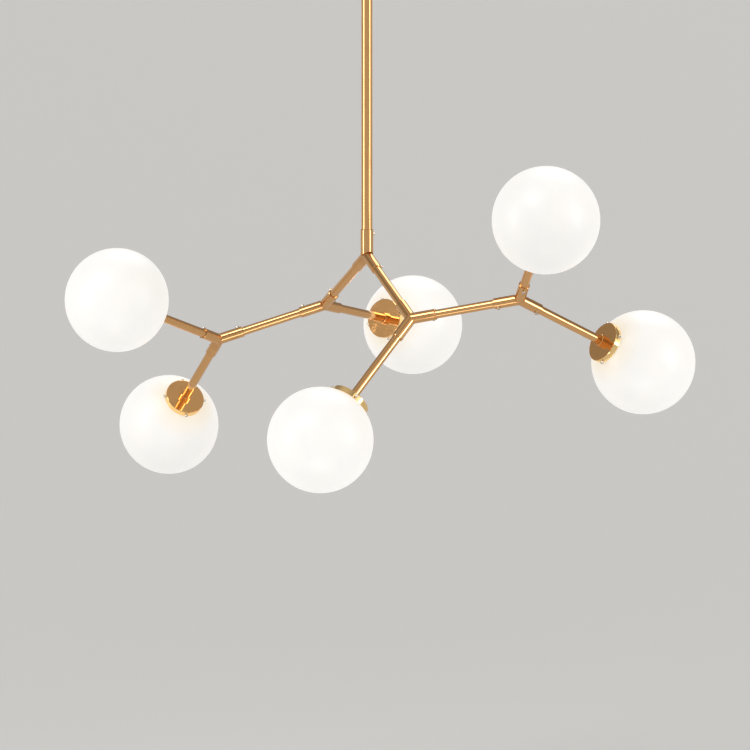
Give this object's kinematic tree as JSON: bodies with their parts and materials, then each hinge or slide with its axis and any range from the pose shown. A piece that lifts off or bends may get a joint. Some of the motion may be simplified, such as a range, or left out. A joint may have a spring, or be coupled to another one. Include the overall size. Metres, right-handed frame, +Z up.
{
  "type": "branch chandelier",
  "caption": "Branching ceiling light: opal glass globes on straight brass tubes joined by three-way hubs, hung from a round canopy by a single rod.",
  "frame": {"origin": "on the ceiling plane, centred on the canopy and its bracket, directly above the centre hub", "axes": "+Z up, -Y to the front as pictured, +X to the viewer's right"},
  "size_m": [0.9094, 0.7957, 0.8116],
  "materials": {
    "tube_brass": "polished warm brass with soft drawn streaks along each tube",
    "cup_brass": "polished yellower brass, turned rings on the flat back",
    "screw_steel": "bright nickel-plated screws",
    "zinc_steel": "zinc-plated mounting hardware",
    "opal_glass": "opal white glass, softly glowing",
    "bulb_frosted": "frosted capsule bulb",
    "lampholder_ceramic": "white glazed ceramic",
    "terminal_nylon": "white nylon",
    "wire_sleeve": "pale heat-proof sleeving"
  },
  "bodies": {
    "ceiling_mount": {"ceiling_bracket": "zinc_steel", "threaded_nipple": "zinc_steel", "nipple_nuts": "zinc_steel", "terminal_block": "terminal_nylon", "canopy": "tube_brass", "rod_coupler": "tube_brass", "coupler_screw": "screw_steel", "down_rod": "tube_brass", "supply_wires": "wire_sleeve"},
    "centre_branch": {"centre_hub": "tube_brass", "left_link": "tube_brass", "right_link": "tube_brass", "centre_screws": "screw_steel", "centre_wires": "wire_sleeve"},
    "left_inner_branch": {"left_inner_hub": "tube_brass", "left_outer_link": "tube_brass", "left_inner_screws": "screw_steel", "left_inner_wires": "wire_sleeve", "arm_3": "tube_brass", "cup_3": "cup_brass", "lampholder_3": "lampholder_ceramic"},
    "left_outer_branch": {"left_outer_hub": "tube_brass", "left_outer_screws": "screw_steel", "left_outer_wires": "wire_sleeve", "arm_1": "tube_brass", "cup_1": "cup_brass", "lampholder_1": "lampholder_ceramic", "arm_2": "tube_brass", "cup_2": "cup_brass", "lampholder_2": "lampholder_ceramic"},
    "right_inner_branch": {"right_inner_hub": "tube_brass", "right_outer_link": "tube_brass", "right_inner_screws": "screw_steel", "right_inner_wires": "wire_sleeve", "arm_4": "tube_brass", "cup_4": "cup_brass", "lampholder_4": "lampholder_ceramic"},
    "right_outer_branch": {"right_outer_hub": "tube_brass", "right_outer_screws": "screw_steel", "right_outer_wires": "wire_sleeve", "arm_5": "tube_brass", "cup_5": "cup_brass", "lampholder_5": "lampholder_ceramic", "arm_6": "tube_brass", "cup_6": "cup_brass", "lampholder_6": "lampholder_ceramic"},
    "shade_1": {"globe_1": "opal_glass"},
    "shade_2": {"globe_2": "opal_glass"},
    "shade_3": {"globe_3": "opal_glass"},
    "shade_4": {"globe_4": "opal_glass"},
    "shade_5": {"globe_5": "opal_glass"},
    "shade_6": {"globe_6": "opal_glass"},
    "lamp_1": {"bulb_1": "bulb_frosted"},
    "lamp_2": {"bulb_2": "bulb_frosted"},
    "lamp_3": {"bulb_3": "bulb_frosted"},
    "lamp_4": {"bulb_4": "bulb_frosted"},
    "lamp_5": {"bulb_5": "bulb_frosted"},
    "lamp_6": {"bulb_6": "bulb_frosted"}
  },
  "joints": [
    {"name": "centre_swivel", "type": "hinge", "parent": "ceiling_mount", "child": "centre_branch", "pos_m": [0, 0, -0.46], "axis": [0, 0, 1], "range_deg": [-180, 180]},
    {"name": "left_inner_swivel", "type": "hinge", "parent": "centre_branch", "child": "left_inner_branch", "pos_m": [-0.06337, 0.12711, -0.542], "axis": [-0.3864, 0.775, -0.5], "range_deg": [-40, 40]},
    {"name": "left_outer_swivel", "type": "hinge", "parent": "left_inner_branch", "child": "left_outer_branch", "pos_m": [-0.21929, 0.1225, -0.59265], "axis": [-0.9507, -0.0281, -0.3088], "range_deg": [-40, 40]},
    {"name": "right_inner_swivel", "type": "hinge", "parent": "centre_branch", "child": "right_inner_branch", "pos_m": [0.06337, -0.12711, -0.542], "axis": [0.3864, -0.775, -0.5], "range_deg": [-40, 40]},
    {"name": "right_outer_swivel", "type": "hinge", "parent": "right_inner_branch", "child": "right_outer_branch", "pos_m": [0.21652, -0.17675, -0.5107], "axis": [0.9338, -0.3027, 0.1908], "range_deg": [-40, 40]},
    {"name": "globe_1_slide", "type": "slide", "parent": "left_outer_branch", "child": "shade_1", "axis": [-0.6028, -0.7377, 0.3039], "range_m": [0, 0.08]},
    {"name": "globe_2_slide", "type": "slide", "parent": "left_outer_branch", "child": "shade_2", "axis": [-0.3479, 0.7096, -0.6127], "range_m": [0, 0.08]},
    {"name": "globe_3_slide", "type": "slide", "parent": "left_inner_branch", "child": "shade_3", "axis": [0.5643, 0.8031, -0.1912], "range_m": [0, 0.08]},
    {"name": "globe_4_slide", "type": "slide", "parent": "right_inner_branch", "child": "shade_4", "axis": [-0.5474, -0.4724, -0.6908], "range_m": [0, 0.08]},
    {"name": "globe_5_slide", "type": "slide", "parent": "right_outer_branch", "child": "shade_5", "axis": [0.1594, -0.7735, 0.6134], "range_m": [0, 0.08]},
    {"name": "globe_6_slide", "type": "slide", "parent": "right_outer_branch", "child": "shade_6", "axis": [0.7744, 0.4708, -0.4226], "range_m": [0, 0.08]},
    {"name": "bulb_1_pull", "type": "slide", "parent": "left_outer_branch", "child": "lamp_1", "axis": [-0.6028, -0.7377, 0.3039], "range_m": [0, 0.014]},
    {"name": "bulb_2_pull", "type": "slide", "parent": "left_outer_branch", "child": "lamp_2", "axis": [-0.3479, 0.7096, -0.6127], "range_m": [0, 0.014]},
    {"name": "bulb_3_pull", "type": "slide", "parent": "left_inner_branch", "child": "lamp_3", "axis": [0.5643, 0.8031, -0.1912], "range_m": [0, 0.014]},
    {"name": "bulb_4_pull", "type": "slide", "parent": "right_inner_branch", "child": "lamp_4", "axis": [-0.5474, -0.4724, -0.6908], "range_m": [0, 0.014]},
    {"name": "bulb_5_pull", "type": "slide", "parent": "right_outer_branch", "child": "lamp_5", "axis": [0.1594, -0.7735, 0.6134], "range_m": [0, 0.014]},
    {"name": "bulb_6_pull", "type": "slide", "parent": "right_outer_branch", "child": "lamp_6", "axis": [0.7744, 0.4708, -0.4226], "range_m": [0, 0.014]}
  ]
}
